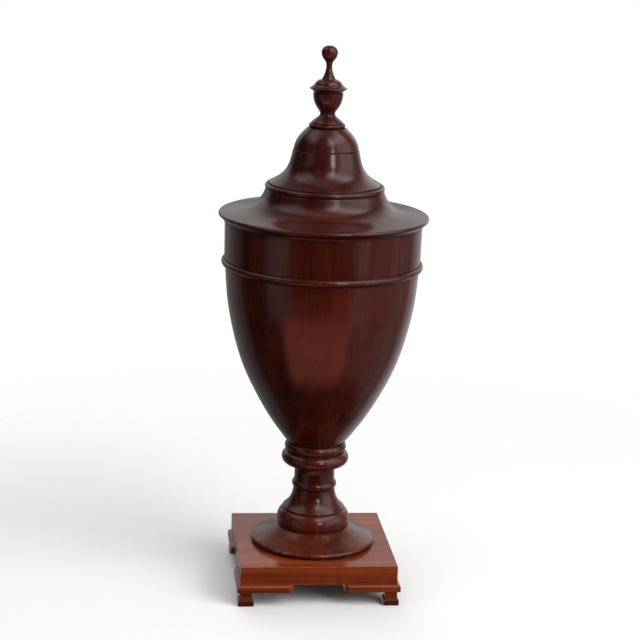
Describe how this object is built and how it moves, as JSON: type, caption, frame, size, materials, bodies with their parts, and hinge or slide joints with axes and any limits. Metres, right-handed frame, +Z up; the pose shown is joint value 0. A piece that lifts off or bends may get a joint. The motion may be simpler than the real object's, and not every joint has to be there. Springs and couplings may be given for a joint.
{
  "type": "knife urn",
  "caption": "Turned mahogany knife urn on a square footed plinth, with a finialed domed lid that lifts on a central post to show stepped tiers slotted for cutlery.",
  "frame": {"origin": "on the urn's axis, on the surface that the feet stand on", "axes": "+Z up along the axis, -Y towards the front, +X to the right as seen from the front"},
  "size_m": [0.255, 0.255, 0.6705],
  "materials": {
    "plinth_mahogany": "polished, orange-brown",
    "iron": "dull, darkened",
    "stem_mahogany": "polished, red-brown",
    "bowl_mahogany": "French polished, deep red-brown with a fine upright grain",
    "pale_wood": "plain, unpolished",
    "tier_mahogany": "satin, red-brown",
    "boxwood": "polished, pale yellow",
    "brass": "satin, a little tarnished",
    "lid_mahogany": "French polished, plum-brown",
    "post_mahogany": "waxed"
  },
  "bodies": {
    "urn": {"foot_pad_front_left": "plinth_mahogany", "foot_block_front_left": "plinth_mahogany", "corner_bracket_front_left": "plinth_mahogany", "foot_pad_front_right": "plinth_mahogany", "foot_block_front_right": "plinth_mahogany", "corner_bracket_front_right": "plinth_mahogany", "foot_pad_back_left": "plinth_mahogany", "foot_block_back_left": "plinth_mahogany", "corner_bracket_back_left": "plinth_mahogany", "foot_pad_back_right": "plinth_mahogany", "foot_block_back_right": "plinth_mahogany", "corner_bracket_back_right": "plinth_mahogany", "foot_screws": "iron", "plinth_block": "plinth_mahogany", "tie_washer": "iron", "tie_screw": "iron", "spreading_foot": "stem_mahogany", "stem_column": "stem_mahogany", "stem_collar": "stem_mahogany", "bowl_base": "bowl_mahogany", "bowl_shell": "bowl_mahogany", "astragal_ring": "bowl_mahogany", "frieze_band": "bowl_mahogany", "guide_socket": "pale_wood", "guide_tube": "pale_wood", "outer_tier": "tier_mahogany", "middle_riser": "tier_mahogany", "middle_tier": "tier_mahogany", "middle_edging": "boxwood", "inner_riser": "tier_mahogany", "inner_tier": "tier_mahogany", "inner_edging": "boxwood", "guide_bush": "brass", "bush_screws": "brass"},
    "lid": {"lid_rim": "lid_mahogany", "locating_ring": "lid_mahogany", "lid_bead": "lid_mahogany", "lid_bell": "lid_mahogany", "lid_cap": "lid_mahogany", "finial_dowel": "pale_wood", "finial_vase": "lid_mahogany", "finial_spire": "lid_mahogany", "lift_post": "post_mahogany", "post_stop": "pale_wood", "stop_screw": "iron", "post_flange": "brass", "flange_screws": "brass", "catch_pin": "brass", "catch_spring": "iron"},
    "catch": {"catch_pawl": "brass"}
  },
  "joints": [
    {"name": "lid_lift", "type": "slide", "parent": "urn", "child": "lid", "axis": [0, 0, 1], "range_m": [0, 0.155]},
    {"name": "catch_swing", "type": "hinge", "parent": "lid", "child": "catch", "pos_m": [0.0015, 0, 0.27], "axis": [0, -1, 0], "range_deg": [0, 7]}
  ]
}
